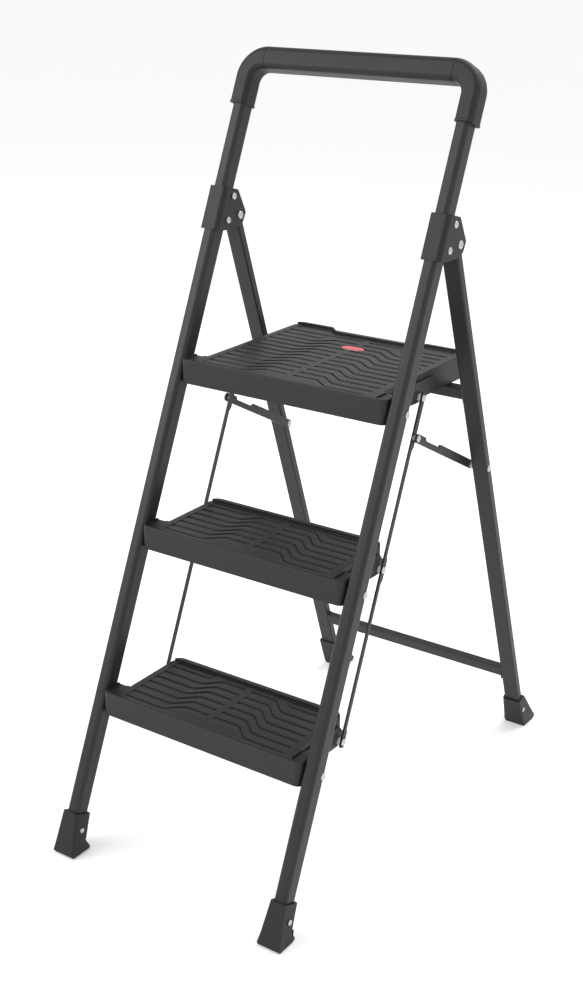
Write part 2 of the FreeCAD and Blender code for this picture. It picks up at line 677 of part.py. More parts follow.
# ---------------------------------------------------------------- links
def strap():
    """Flat bar that keeps the treads level; wide at the pivots, narrow between."""
    span = STEP_PITCH * (len(STEP_NAMES) - 1)
    half = STRAP_WIDTH / 2
    neck = half - STRAP_WIDTH + STRAP_NECK_WIDTH
    low = -span - STRAP_END
    joint = -BRACE_ON_STRAP
    slope = STRAP_WIDE + STRAP_SLOPE
    rear = [(half, low), (half, -span + STRAP_WIDE), (neck, -span + slope),
            (neck, -STEP_PITCH - slope), (half, -STEP_PITCH - STRAP_WIDE),
            (half, -STEP_PITCH + STRAP_WIDE), (neck, -STEP_PITCH + slope),
            (neck, joint - slope), (half, joint - STRAP_WIDE), (half, STRAP_END)]
    outline = [(-half, STRAP_END), (-half, low)] + rear
    piece = lean_back(side_prism(outline, STRAP_IN, STRAP_OUT))
    top = link_pivot(len(STEP_NAMES) - 1)
    piece.translate(vec(0, *top))
    holes = [rod(0, EAR_HALF, link_pivot(n), PIVOT_PIN + RUNNING) for n in range(len(STEP_NAMES))]
    return piece.cut(holes)


def strap_washers():
    """Nylon washers between the side plates and the strap."""
    rings = []
    for number in range(len(STEP_NAMES)):
        place = link_pivot(number)
        ring = rod(PLATE_OUT + PLATE_GAP, STRAP_IN, place, PIVOT_PIN + HEAD_EXTRA + 1)
        rings.append(ring.cut(rod(0, STRAP_OUT, place, PIVOT_PIN + RUNNING)))
    return Part.Compound(rings)


def brace_joint():
    y, z = link_pivot(len(STEP_NAMES) - 1)
    return y - BRACE_ON_STRAP * lean_sin, z - BRACE_ON_STRAP * lean_cos


def brace():
    """Flat bar with a notched upper edge, from the strap to the rear leg."""
    y0, z0 = brace_joint()
    y1, z1 = on_leg(BRACE_ON_LEG, 0)
    length = math.hypot(y1 - y0, z1 - z0)
    slope = math.degrees(math.atan2(z1 - z0, y1 - y0))
    half = BRACE_WIDTH / 2
    top = half - BRACE_NOTCH
    outline = [(0, -half), (length, -half), (length, half), (NOTCH_END, half),
               (NOTCH_END - NOTCH_SLOPE, top), (NOTCH_START + NOTCH_SLOPE, top),
               (NOTCH_START, half), (0, half)]
    piece = side_prism(outline, BRACE_IN, BRACE_OUT)
    piece = piece.fuse([rod(BRACE_IN, BRACE_OUT, (0, 0), half),
                        rod(BRACE_IN, BRACE_OUT, (length, 0), half)]).removeSplitter()
    holes = [rod(0, EAR_HALF, (0, 0), PIVOT_PIN), rod(0, EAR_HALF, (length, 0), PIVOT_PIN + RUNNING)]
    piece = piece.cut(holes)
    piece.rotate(vec(0, 0, 0), vec(1, 0, 0), slope)
    piece.translate(vec(0, y0, z0))
    return piece


def brace_rivet():
    """Shouldered rivet at the brace's front end; it stops short of the strap."""
    place = brace_joint()
    shoulder = rod(STRAP_OUT + PLATE_GAP, BRACE_IN, place, PIVOT_PIN + HEAD_EXTRA)
    pin = rod(BRACE_IN, BRACE_OUT, place, PIVOT_PIN)
    head = rod(BRACE_OUT, BRACE_OUT + HEAD_THICK, place, PIVOT_PIN + HEAD_EXTRA)
    return pin.fuse([shoulder, head]).removeSplitter()


# ---------------------------------------------------------------- latch
PLATFORM_Y, PLATFORM_Z = tread_pivot(len(STEP_NAMES) - 1)
BUTTON_Y = PLATFORM_Y + LATCH_BACK
TOP_Z = PLATFORM_Z + TREAD_RISE
FLOOR_Z = TOP_Z - HOUSING_FLOOR
HOOK_Y = BUTTON_Y - HOOK_PIN_AHEAD
HOOK_Z = TOP_Z - HOOK_PIN_DROP
BUTTON_LOW = TOP_Z - BUTTON_SUNK - BUTTON_THICK
STEM_LOW = HOOK_Z + HOOK_EYE + PLATE_GAP


def upright(place, z0, z1, radius):
    x, y = place
    return Part.makeCylinder(radius, z1 - z0, vec(x, y, z0))


def latch_housing():
    """Open-topped box under the platform with two ears for the hook's pin."""
    top = TOP_Z - SHELL_WALL
    y0 = BUTTON_Y - HOUSING_FRONT
    y1 = BUTTON_Y + HOUSING_BACK
    box = block(-HOUSING_HALF, HOUSING_HALF, y0, y1, FLOOR_Z, top)
    room = block(HOUSING_WALL - HOUSING_HALF, HOUSING_HALF - HOUSING_WALL, y0 + HOUSING_WALL,
                 y1 - HOUSING_WALL, FLOOR_Z + HOUSING_WALL, top + 1)
    ear_in = HOOK_WIDTH / 2 + PLATE_GAP
    ear_low = HOOK_Z - HOOK_EYE
    ear = block(ear_in, ear_in + CHEEK, y0, HOOK_Y + HOOK_EYE, ear_low, FLOOR_Z)
    housing = box.cut(room).fuse([ear, other_side(ear)]).removeSplitter()
    stem_hole = upright((0, BUTTON_Y), FLOOR_Z - 1, top, STEM + RUNNING)
    return housing.cut([stem_hole, rod(-HOUSING_HALF, HOUSING_HALF, (HOOK_Y, HOOK_Z), HOOK_PIN)])


def latch_pin():
    end = HOOK_WIDTH / 2 + PLATE_GAP + CHEEK + 1
    return rod(-end, end, (HOOK_Y, HOOK_Z), HOOK_PIN)


def latch_button():
    cap = plan_prism(hexagon(BUTTON_LENGTH, BUTTON_DEPTH), BUTTON_LOW, TOP_Z - BUTTON_SUNK)
    cap.translate(vec(0, BUTTON_Y, 0))
    return cap.fuse(upright((0, BUTTON_Y), STEM_LOW, BUTTON_LOW, STEM)).removeSplitter()


def button_clip():
    high = FLOOR_Z - PLATE_GAP
    ring = upright((0, BUTTON_Y), high - CLIP_THICK, high, CLIP_RADIUS)
    return ring.cut(upright((0, BUTTON_Y), high - 2 * CLIP_THICK, high + 1, STEM))


def latch_spring():
    """Coil between the housing floor and the button, wire round the stem."""
    low = FLOOR_Z + HOUSING_WALL + SPRING_WIRE
    high = BUTTON_LOW - SPRING_WIRE
    rise = high - low
    helix = Part.makeHelix(rise / SPRING_TURNS, rise, SPRING_RADIUS)
    wire = Part.Wire(Part.makeCircle(SPRING_WIRE, vec(SPRING_RADIUS, 0, 0), vec(0, 1, 0)))
    coil = Part.Wire(helix).makePipeShell([wire], True, True)
    coil.translate(vec(0, BUTTON_Y, low))
    return coil


def latch_hook():
    """Pawl under the button: its nose lies against the upper crossbar's front."""
    bar_y, bar_z = on_leg(upper_bar_down() - BAR_HEIGHT / 2, BAR_BEHIND - BAR_DEPTH / 2)
    nose_y = bar_y - HOOK_SHY
    low = bar_z - HOOK_REACH
    outline = [(HOOK_Y, HOOK_Z + HOOK_EYE), (nose_y, HOOK_Z), (nose_y, bar_z),
               (nose_y - HOOK_REACH, low), (nose_y - HOOK_REACH - HOOK_EYE, low),
               (HOOK_Y, HOOK_Z - HOOK_EYE)]
    half = HOOK_WIDTH / 2
    hook = side_prism(outline, -half, half)
    eye = rod(-half, half, (HOOK_Y, HOOK_Z), HOOK_EYE)
    hole = rod(-half - 1, half + 1, (HOOK_Y, HOOK_Z), HOOK_PIN + RUNNING)
    return hook.fuse(eye).removeSplitter().cut(hole)


# ---------------------------------------------------------------- assembly
os.makedirs("parts", exist_ok=True)

save("front_tube", front_tube())
save("grip_cover", grip_cover())
save_pair("corner_cover", corner_cover())
save_pair("shoulder_bracket", shoulder_bracket())
save("bracket_rivets", bracket_rivets())
save("leg_pivots", leg_pivots())
save("tread_pivots", tread_pivots())
save_pair("front_foot", front_foot())
save("front_foot_screws", both_sides([front_screw()]))

save_pair("rear_leg", rear_leg())
save("upper_crossbar", crossbar(upper_bar_down(), BAR_BEHIND))
save("lower_crossbar", crossbar((LEG_Z - LOWER_BAR_HEIGHT) / leg_cos, 0))
save_pair("rear_foot", rear_foot())
save("rear_foot_screws", both_sides([rear_screw()]))
save("brace_pivots", brace_pivots())
save("brace_spacers", brace_spacers())

for step, title in enumerate(STEP_NAMES):
    save(title + "_tread", placed_tread(step))
    save(title + "_ribs", placed_ribs(step))
    save_pair(title + "_side_plate", side_plate(step))
    save(title + "_link_pivots", link_pivots(step))

save_pair("link_strap", strap())
save_pair("strap_washers", strap_washers())
save_pair("brace", brace())
save_pair("brace_rivet", brace_rivet())

save("latch_housing", latch_housing())
save("latch_pin", latch_pin())
save("latch_button", latch_button())
save("button_clip", button_clip())
save("latch_spring", latch_spring())
save("latch_hook", latch_hook())

# joint places for the people who describe the motion, in the saved frame
for label, place in (("leg_pivot", (LEG_Y, LEG_Z)), ("bottom_pivot", tread_pivot(0)),
                     ("middle_pivot", tread_pivot(1)), ("platform_pivot", tread_pivot(2)),
                     ("top_link", link_pivot(2)), ("brace_joint", brace_joint()),
                     ("brace_on_leg", on_leg(BRACE_ON_LEG, 0)), ("hook_pin", (HOOK_Y, HOOK_Z)),
                     ("button", (BUTTON_Y, BUTTON_LOW))):
    print(label, round(place[0] - CENTRE_Y, 3), round(place[1], 3))
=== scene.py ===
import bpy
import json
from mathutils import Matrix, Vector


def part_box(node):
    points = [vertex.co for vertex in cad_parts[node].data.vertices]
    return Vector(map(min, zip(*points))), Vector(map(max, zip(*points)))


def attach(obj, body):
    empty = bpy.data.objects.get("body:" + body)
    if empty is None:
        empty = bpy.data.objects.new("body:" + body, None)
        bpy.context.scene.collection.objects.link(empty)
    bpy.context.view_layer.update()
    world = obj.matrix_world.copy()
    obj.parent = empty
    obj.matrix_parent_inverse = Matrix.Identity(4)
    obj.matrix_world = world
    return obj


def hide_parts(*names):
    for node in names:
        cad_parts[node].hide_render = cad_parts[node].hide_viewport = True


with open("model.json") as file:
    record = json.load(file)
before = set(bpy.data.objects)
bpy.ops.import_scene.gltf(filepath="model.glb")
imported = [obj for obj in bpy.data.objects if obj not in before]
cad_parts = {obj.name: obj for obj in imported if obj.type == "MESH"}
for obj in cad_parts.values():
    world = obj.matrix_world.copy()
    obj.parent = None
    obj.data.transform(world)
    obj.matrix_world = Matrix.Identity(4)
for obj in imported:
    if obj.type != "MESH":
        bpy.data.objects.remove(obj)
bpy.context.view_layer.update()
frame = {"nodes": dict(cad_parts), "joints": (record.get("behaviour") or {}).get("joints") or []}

import json
import math

import bmesh
import bpy
from mathutils import Matrix, Vector

# ---- Floor, light and camera -------------------------------------------------
# The ladder stands on a plain pale floor in a bright studio. Four soft panels
# light it from the left, the front, above and the right; the camera looks down from
# the front right.
FLOOR_REACH = 60
scene = bpy.context.scene
scene.view_settings.view_transform = "Standard"
world = bpy.data.worlds.new("studio")
world.use_nodes = True
scene.world = world
backdrop = world.node_tree.nodes["Background"].inputs
backdrop["Color"].default_value = (1, 1, 1, 1)
backdrop["Strength"].default_value = 0.85

floor_mesh = bmesh.new()
bmesh.ops.create_grid(floor_mesh, x_segments=4, y_segments=4, size=FLOOR_REACH)
floor_data = bpy.data.meshes.new("floor")
floor_mesh.to_mesh(floor_data)
floor_mesh.free()
floor = bpy.data.objects.new("floor", floor_data)
scene.collection.objects.link(floor)
floor_paint = bpy.data.materials.new("floor_paint")
floor_paint.use_nodes = True
floor_shader = floor_paint.node_tree.nodes["Principled BSDF"].inputs
floor_shader["Base Color"].default_value = (0.86, 0.86, 0.86, 1)
floor_shader["Roughness"].default_value = 0.9
floor_shader["Specular IOR Level"].default_value = 0.1
floor_shader["Emission Color"].default_value = (1, 1, 1, 1)
floor_shader["Emission Strength"].default_value = 0.22
floor_data.materials.append(floor_paint)


def soft_panel(name, place, aim, size, power):
    """A square area lamp that points from its place at an aim point."""
    lamp = bpy.data.lights.new(name, "AREA")
    lamp.shape = "SQUARE"
    lamp.size = size
    lamp.energy = power
    holder = bpy.data.objects.new(name, lamp)
    holder.location = place
    toward = Vector(aim) - Vector(place)
    holder.rotation_euler = toward.to_track_quat("-Z", "Y").to_euler()
    scene.collection.objects.link(holder)


soft_panel("left_panel", (-2.7, -2.5, 2.1), (0, 0, 0.7), 1.8, 50)
soft_panel("front_panel", (-1.4, -2.3, 3.0), (0, 0, 0.9), 1.3, 20)
soft_panel("top_panel", (0.6, 1.6, 3.2), (0, 0, 0.5), 2.2, 55)
soft_panel("right_panel", (3.4, -0.6, 1.6), (0, 0, 0.6), 2.0, 8)

CAMERA_PLACE = (1.14242, -1.78063, 1.31052)
CAMERA_AZIMUTH = math.radians(35.4955)
CAMERA_DOWN = math.radians(18.7907)
CAMERA_ROLL = math.radians(0.1247)
camera_data = bpy.data.cameras.new("camera")
camera_data.lens = 54.315
camera_data.shift_x = 0.04345
camera_data.shift_y = -0.06912
camera = bpy.data.objects.new("camera", camera_data)
camera.location = CAMERA_PLACE
look = Matrix.Rotation(CAMERA_AZIMUTH, 3, "Z") @ Matrix.Rotation(math.pi / 2 - CAMERA_DOWN, 3, "X")
camera.rotation_euler = (look @ Matrix.Rotation(CAMERA_ROLL, 3, "Z")).to_euler()
scene.collection.objects.link(camera)
scene.camera = camera


# ---- Tube frame and steel links ----------------------------------------------
# Welded steel tube, flat straps, braces and side plates, all in one satin black
# powder coat with a fine orange peel. The parts keep their own made shapes.
class Wire:
    """An output socket; arithmetic on it adds Math nodes."""

    def __init__(self, finish, socket):
        self.finish = finish
        self.socket = socket

    def maths(self, operation, first, second):
        """One Math node on two values or wires."""
        return self.finish.new("ShaderNodeMath", {"operation": operation}, {0: first, 1: second})

    def __add__(self, other):
        return self.maths("ADD", self, other)

    def __sub__(self, other):
        return self.maths("SUBTRACT", self, other)

    def __rsub__(self, other):
        return self.maths("SUBTRACT", other, self)

    def __mul__(self, other):
        return self.maths("MULTIPLY", self, other)

    __radd__ = __add__
    __rmul__ = __mul__


class Finish:
    """One surface finish: a material and the nodes that make it."""

    def __init__(self, name):
        self.material = bpy.data.materials.new(name)
        self.material.use_nodes = True
        self.nodes = self.material.node_tree.nodes
        self.shader = self.nodes["Principled BSDF"]

    def new(self, kind, settings=None, sockets=None, output=None):
        """Adds a node, sets it, fills its sockets and returns one output."""
        node = self.nodes.new(kind)
        for key, value in (settings or {}).items():
            setattr(node, key, value)
        for key, value in (sockets or {}).items():
            self.fill(node, key, value)
        shown = [s for s in node.outputs if s.enabled]
        return Wire(self, node.outputs[output] if output else shown[0])

    def fill(self, node, key, value):
        """Sets a socket, or links it where the value is a wire."""
        shown = [s for s in node.inputs if s.enabled]
        socket = shown[key] if isinstance(key, int) else next(s for s in shown if s.name == key)
        if isinstance(value, Wire):
            self.material.node_tree.links.new(value.socket, socket)
        else:
            socket.default_value = value

    def surface(self, **values):
        """Feeds the shader; base_color=... goes to the socket Base Color."""
        for key, value in values.items():
            self.fill(self.shader, key.replace("_", " ").title().replace("Ior", "IOR"), value)

    def place(self):
        """The point on the surface, in the piece's own frame."""
        return self.new("ShaderNodeTexCoord", output="Object")

    def noise(self, place, scale, detail=3.0):
        """Cloudy values from 0 to 1."""
        return self.new("ShaderNodeTexNoise", None,
                        {"Vector": place, "Scale": scale, "Detail": detail})

    def blend_colours(self, share, first, second):
        """Runs from the first colour to the second as the share grows."""
        return self.new("ShaderNodeMix", {"data_type": "RGBA"},
                        {"Factor": share, "A": (*first, 1), "B": (*second, 1)})

    def relief(self, height, strength, distance):
        """A bumped normal."""
        return self.new("ShaderNodeBump", None,
                        {"Height": height, "Strength": strength, "Distance": distance})


MOTTLE_SCALE = 14
FINE_DETAIL = 2
GRAIN_DEPTH = 0.0001


def speckled(name, dark, light, rough, rough_spread, grain, strength, specular=0.5):
    """A solid colour with slow mottling, uneven gloss and a fine surface grain."""
    finish = Finish(name)
    place = finish.place()
    mottle = finish.noise(place, MOTTLE_SCALE)
    fine = finish.noise(place, grain, FINE_DETAIL)
    finish.surface(base_color=finish.blend_colours(mottle, dark, light),
                   roughness=mottle * rough_spread + fine * (rough_spread / 2) + rough,
                   normal=finish.relief(fine, strength, GRAIN_DEPTH),
                   specular_ior_level=specular)
    return finish.material


def finish_nodes(material, names):
    """Gives kept parts a finish."""
    for name in names:
        for slot in nodes[name].material_slots:
            slot.material = material


nodes = frame["nodes"]
powder_coat = speckled("powder_coat", (0.020, 0.020, 0.022), (0.029, 0.029, 0.032),
                       rough=0.30, rough_spread=0.12, grain=850, strength=0.25, specular=0.24)
SIDES = ("right", "left")
STEPS = ("bottom", "middle", "platform")
coated = ["front_tube", "upper_crossbar", "lower_crossbar"]
coated += [part + "_" + side for part in ("rear_leg", "link_strap", "brace") for side in SIDES]
coated += [step + "_side_plate_" + side for step in STEPS for side in SIDES]
finish_nodes(powder_coat, coated)

# ---- Handrail covers ---------------------------------------------------------
# Three moulded black covers on the bent tube: a square centre grip and two
# elbows that run down as sleeves and end in a small rim. They are snapped on.
MM = 0.001
WELD = 1e-6
SHARP_ANGLE = math.radians(38)
pivots = {joint["name"]: Vector(joint["pos_m"]) for joint in frame["joints"] if "pos_m" in joint}
FIRST_STEP = 236.5 * MM
PIVOT_BACK_OF_RAIL = 8.2 * MM
HALF_SPAN = 185 * MM
low_pivot = pivots["bottom_step_fold"]
rise = pivots["platform_fold"] - low_pivot
lean = math.atan2(rise.y, rise.z)
turn_to_rail = Matrix.Rotation(-lean, 4, "X")
rail_foot = low_pivot - turn_to_rail @ Vector((0, PIVOT_BACK_OF_RAIL, FIRST_STEP))
on_rail = Matrix.Translation(rail_foot) @ turn_to_rail


def moved(x, y, z):
    """A shift in metres, as a matrix."""
    return Matrix.Translation((x, y, z))


def rounded_face(mesh, width, depth, radius, place, steps=6):
    """A rounded rectangle as one face, in the X-Y plane of its place."""
    corners = bmesh.ops.create_grid(mesh, x_segments=1, y_segments=1, size=0.5)["verts"]
    bmesh.ops.scale(mesh, vec=(width, depth, 1), verts=corners)
    if radius:
        bmesh.ops.bevel(mesh, geom=corners, offset=radius, affect="VERTICES", segments=steps,
                        profile=0.5, material=-1)
    face = mesh.faces[-1] if not radius else max(mesh.faces, key=lambda f: len(f.verts))
    bmesh.ops.transform(mesh, matrix=place, verts=face.verts)
    return face


def pull(mesh, face, shift, size=(1, 1, 1), turn=None):
    """Extrudes a face, then sizes it about its middle, turns and moves it."""
    made = bmesh.ops.extrude_face_region(mesh, geom=[face])["geom"]
    verts = [v for v in made if isinstance(v, bmesh.types.BMVert)]
    middle = sum((v.co for v in verts), Vector()) / len(verts)
    bmesh.ops.scale(mesh, vec=size, verts=verts, space=Matrix.Translation(-middle))
    if turn:
        bmesh.ops.rotate(mesh, cent=middle, matrix=turn, verts=verts)
    bmesh.ops.translate(mesh, vec=shift, verts=verts)
    return next(f for f in made if isinstance(f, bmesh.types.BMFace))


def open_end(mesh, face, wall, deep):
    """Hollows the end of a sleeve: leaves a rim and sinks the rest."""
    bmesh.ops.inset_region(mesh, faces=[face], thickness=wall, use_even_offset=True)
    bmesh.ops.translate(mesh, vec=deep, verts=pull(mesh, face, (0, 0, 0)).verts)


def add_piece(name, mesh, body, material, replaced=(), place=None):
    """Closes a mesh and makes it a piece that rides on a body."""
    if place:
        bmesh.ops.transform(mesh, matrix=place, verts=mesh.verts)
    bmesh.ops.remove_doubles(mesh, verts=mesh.verts, dist=WELD)
    bmesh.ops.recalc_face_normals(mesh, faces=mesh.faces)
    data = bpy.data.meshes.new(name)
    mesh.to_mesh(data)
    mesh.free()
    data.polygons.foreach_set("use_smooth", [True] * len(data.polygons))
    data.set_sharp_from_angle(angle=SHARP_ANGLE)
    data.materials.append(material)
    piece = bpy.data.objects.new(name, data)
    scene.collection.objects.link(piece)
    even = piece.modifiers.new("even_shading", "WEIGHTED_NORMAL")
    even.keep_sharp = True
    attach(piece, body)
    if replaced:
        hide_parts(*replaced)
    return piece


def mirrored(mesh):
    """The left-hand twin of a right-hand mesh."""
    twin = mesh.copy()
    bmesh.ops.scale(twin, vec=(-1, 1, 1), verts=twin.verts)
    return twin


def add_pair(name, mesh, body, material, node, place=None):
    """The given mesh is the right-hand piece; its mirror image is the left."""
    add_piece(name + "_left", mirrored(mesh), body, material, [node + "_left"], place)
    add_piece(name + "_right", mesh, body, material, [node + "_right"], place)


moulded_black = speckled("moulded_black", (0.008, 0.008, 0.010), (0.013, 0.013, 0.016),
                         rough=0.40, rough_spread=0.10, grain=1500, strength=0.35, specular=0.34)
GRIP_CENTRE = 1206 * MM
BEND_RADIUS = 30 * MM
GRIP_SIZE = 36 * MM
GRIP_HEIGHT = 33.4 * MM
GRIP_CORNER = 9 * MM
SLEEVE_WIDTH = 28 * MM
SLEEVE_DEPTH = 34 * MM
SLEEVE_END = 1137 * MM
SEAM = 0.35 * MM
RIM = 3 * MM
RIM_ROUND = 0.6 * MM
RIM_FLARE = (1.05, 1.04, 1)
SLEEVE_WALL = 2.4 * MM
bend_x = HALF_SPAN - BEND_RADIUS

sideways = Matrix.Rotation(math.pi / 2, 4, "Y")
grip_line = GRIP_CENTRE + (GRIP_SIZE - GRIP_HEIGHT) / 2
grip = bmesh.new()
grip_end = rounded_face(grip, GRIP_HEIGHT, GRIP_SIZE, GRIP_CORNER,
                        moved(SEAM - bend_x, 0, grip_line) @ sideways)
pull(grip, grip_end, (2 * (bend_x - SEAM), 0, 0))
add_piece("grip", grip, "front_frame", moulded_black, ["grip_cover"], on_rail)

BEND_STEPS = 14
elbow = bmesh.new()
elbow_face = rounded_face(elbow, GRIP_HEIGHT, GRIP_SIZE, GRIP_CORNER,
                          moved(bend_x + SEAM, 0, grip_line) @ sideways)
shoulder = GRIP_CENTRE - BEND_RADIUS
narrower = (SLEEVE_WIDTH / GRIP_HEIGHT) ** (1 / BEND_STEPS)
thinner = (SLEEVE_DEPTH / GRIP_SIZE) ** (1 / BEND_STEPS)
bend_turn = Matrix.Rotation(math.pi / 2 / BEND_STEPS, 3, "Y")
for _ in range(BEND_STEPS):
    elbow_face = pull(elbow, elbow_face, (0, 0, 0), (narrower, thinner, narrower))
    bmesh.ops.rotate(elbow, cent=(bend_x + SEAM, 0, shoulder), matrix=bend_turn,
                     verts=elbow_face.verts)
elbow_face = pull(elbow, elbow_face, (0, 0, SLEEVE_END + RIM - shoulder))
elbow_face = pull(elbow, elbow_face, (0, 0, -RIM_ROUND), RIM_FLARE)
elbow_face = pull(elbow, elbow_face, (0, 0, RIM_ROUND - RIM))
open_end(elbow, elbow_face, SLEEVE_WALL, (0, 0, RIM))
add_pair("elbow", elbow, "front_frame", moulded_black, "corner_cover", on_rail)

# ---- Shoulder brackets -------------------------------------------------------
# Moulded black sleeves on the rails; each has two cheeks with a slot between them
# for the rear leg. Two rivets hold each one to its rail.
LOW_END = 900
HIGH_END = 1060
SOCKET_START = 1008
CHEEK_SIDE = 169.6
CHEEK_SPAN = 31.7
CHEEK = ((-15.3, 944.5), (6, 949), (34, 961), (46, 971), (48, 988), (16, 1014), (-15.3, 1010))
LEG_SLOT = (171.7, 198.3, 17.6, 60)
RAIL_BORE = (20.6, 28.6, 6.3)
SLEEVE_SOCKET = (24.4, 30.2, 6.8)


def outline(mesh, corners):
    """A flat face through a few corners, given in millimetres."""
    return mesh.faces.new([mesh.verts.new(Vector(corner) * MM) for corner in corners])


def block(x0, x1, y0, y1, z0, z1):
    """A tool for cutting: a closed box between two corners, in millimetres."""
    mesh = bmesh.new()
    face = outline(mesh, [(x0, y0, z0), (x1, y0, z0), (x1, y1, z0), (x0, y1, z0)])
    pull(mesh, face, (0, 0, (z1 - z0) * MM))
    return mesh


def soften(mesh, edges, width, steps=4):
    """Rounds edges over a width in millimetres."""
    bmesh.ops.bevel(mesh, geom=list(edges), offset=width * MM, affect="EDGES", segments=steps,
                    profile=0.5, material=-1, clamp_overlap=True)


def running(mesh, axis, test=lambda middle: True):
    """The edges that run along an axis and whose middles pass a test."""
    found = []
    for edge in mesh.edges:
        start, end = (vert.co for vert in edge.verts)
        if abs((end - start).normalized()[axis]) > 0.8 and test((start + end) / (2 * MM)):
            found.append(edge)
    return found


def carve(mesh, tool, operation="DIFFERENCE"):
    """Cuts or joins one mesh with another, and uses both up."""
    holders = []
    for shape in (mesh, tool):
        bmesh.ops.remove_doubles(shape, verts=shape.verts, dist=WELD)
        bmesh.ops.triangulate(shape, faces=shape.faces)
        bmesh.ops.recalc_face_normals(shape, faces=shape.faces)
        data = bpy.data.meshes.new("carving")
        shape.to_mesh(data)
        shape.free()
        holders.append(bpy.data.objects.new("carving", data))
        scene.collection.objects.link(holders[-1])
    cut = holders[0].modifiers.new("cut", "BOOLEAN")
    cut.operation = operation
    cut.object = holders[1]
    cut.solver = "EXACT"
    bpy.context.view_layer.update()
    result = bmesh.new()
    result.from_object(holders[0], bpy.context.evaluated_depsgraph_get())
    for holder in holders:
        bpy.data.objects.remove(holder)
    return result


def rail_prism(width, depth, radius, low, high):
    """A tool shaped like a piece of the right rail, in millimetres."""
    mesh = bmesh.new()
    face = rounded_face(mesh, width * MM, depth * MM, radius * MM, moved(HALF_SPAN, 0, low * MM))
    pull(mesh, face, (0, 0, high * MM - low * MM))
    return mesh


bracket = bmesh.new()
cheek_side = outline(bracket, [(CHEEK_SIDE, behind, along) for behind, along in CHEEK])
pull(bracket, cheek_side, (CHEEK_SPAN * MM, 0, 0))
soften(bracket, running(bracket, 2, lambda m: m.y < -15), 7, 7)
soften(bracket, running(bracket, 0, lambda m: m.y > 30), 2.5)
soften(bracket, running(bracket, 0, lambda m: abs(m.y) < 20), 0.7, 2)
bracket = carve(bracket, block(*LEG_SLOT, LOW_END, HIGH_END))
bracket = carve(bracket, rail_prism(*RAIL_BORE, LOW_END, HIGH_END))
bracket = carve(bracket, rail_prism(*SLEEVE_SOCKET, SOCKET_START, HIGH_END))
add_pair("shoulder", bracket, "front_frame", moulded_black, "shoulder_bracket",
         on_rail)

# ---- Rivets and screws -------------------------------------------------------
# Bright zinc-plated steel. Each rivet is a pin along X with a domed and dimpled
# head at either end; the screws that hold the feet have the same heads.
HEAD_THICK = 1.6
ROUND_STEPS = 28
SMALL = (3, 5)
LARGE = (4, 6)
SCREW = (2, 4)
RAIL_SPAN = (168.7, 201.3)
TREAD_PIVOT_SPAN = (147.2, 195)
BRACE_PIVOT_SPAN = (165.3, 198)
LINK_PIVOT_SPAN = (147.5, 161.65)
BRACE_RIVET_SPAN = (161.8, 168.3)
SCREW_SPAN = (169, 201)
BRACKET_RIVETS = ((1001.8, 8.2), (965.1, 8.2))
DOME = ((1, 0), (1, 0.22), (0.93, 0.62), (0.74, 0.94), (0.44, 1), (0.32, 0.68), (0, 0.62))
zinc = Finish("bright_zinc")
zinc_place = zinc.place()
zinc_cloud = zinc.noise(zinc_place, 220)
zinc.surface(base_color=zinc.blend_colours(zinc_cloud, (0.42, 0.42, 0.43), (0.62, 0.62, 0.63)),
             metallic=0.95, roughness=zinc_cloud * 0.2 + 0.24,
             normal=zinc.relief(zinc_cloud, 0.2, 0.0002))


def rivet(mesh, left, right, place, pin, head):
    """A pin with a head past either end; the place gives its Y and Z in metres."""
    profile = [(head * r, left - HEAD_THICK * t) for r, t in reversed(DOME)]
    profile += [(pin, left), (pin, right)]
    profile += [(head * r, right + HEAD_THICK * t) for r, t in DOME]
    centre = Vector((0, place.y, place.z))
    verts = [mesh.verts.new(centre + Vector((x, 0, r)) * MM) for r, x in profile]
    edges = [mesh.edges.new(pair) for pair in zip(verts, verts[1:])]
    bmesh.ops.spin(mesh, geom=verts + edges, cent=centre, axis=(1, 0, 0), angle=2 * math.pi,
                   steps=ROUND_STEPS, use_merge=True)


def node_centre(name):
    """The middle of a node's box."""
    low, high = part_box(name)
    return (Vector(low) + Vector(high)) / 2


def rivet_set(name, body, node, span, places, size=SMALL, both=True):
    """Rivets with one span and several places, on both sides of the ladder."""
    left, right = span
    mesh = bmesh.new()
    for place in places:
        rivet(mesh, left, right, place, *size)
        if both:
            rivet(mesh, -right, -left, place, *size)
    add_piece(name, mesh, body, zinc.material, [node])


def rail_place(along, behind):
    """A point up the rail and behind its middle, given in millimetres."""
    return on_rail @ Vector((0, behind * MM, along * MM))


step_pivots = [pivots[step + "_step_fold"] for step in STEPS[:2]] + [pivots["platform_fold"]]
rivet_set("bracket_rivet", "front_frame", "bracket_rivets", RAIL_SPAN,
          [rail_place(*spot) for spot in BRACKET_RIVETS])
rivet_set("leg_pivot", "front_frame", "leg_pivots", RAIL_SPAN, [node_centre("leg_pivots")], LARGE)
rivet_set("tread_pivot", "front_frame", "tread_pivots", TREAD_PIVOT_SPAN, step_pivots)
rivet_set("brace_pivot", "rear_frame", "brace_pivots", BRACE_PIVOT_SPAN,
          [node_centre("brace_pivots")])
for step, body in zip(STEPS, ("bottom_step", "middle_step", "platform")):
    rivet_set(step + "_link_pivot", body, step + "_link_pivots", LINK_PIVOT_SPAN,
              [node_centre(step + "_link_pivots")])
for side, sign in zip(SIDES, (1, -1)):
    node = "brace_rivet_" + side
    span = sorted(sign * x for x in BRACE_RIVET_SPAN)
    rivet_set("brace_rivet_head_" + side, side + "_brace", node, span, [node_centre(node)],
              both=False)
for part, body in (("front_foot", "front_frame"), ("rear_foot", "rear_frame")):
    node = part + "_screws"
    rivet_set(part + "_screw", body, node, SCREW_SPAN, [node_centre(node)], SCREW)

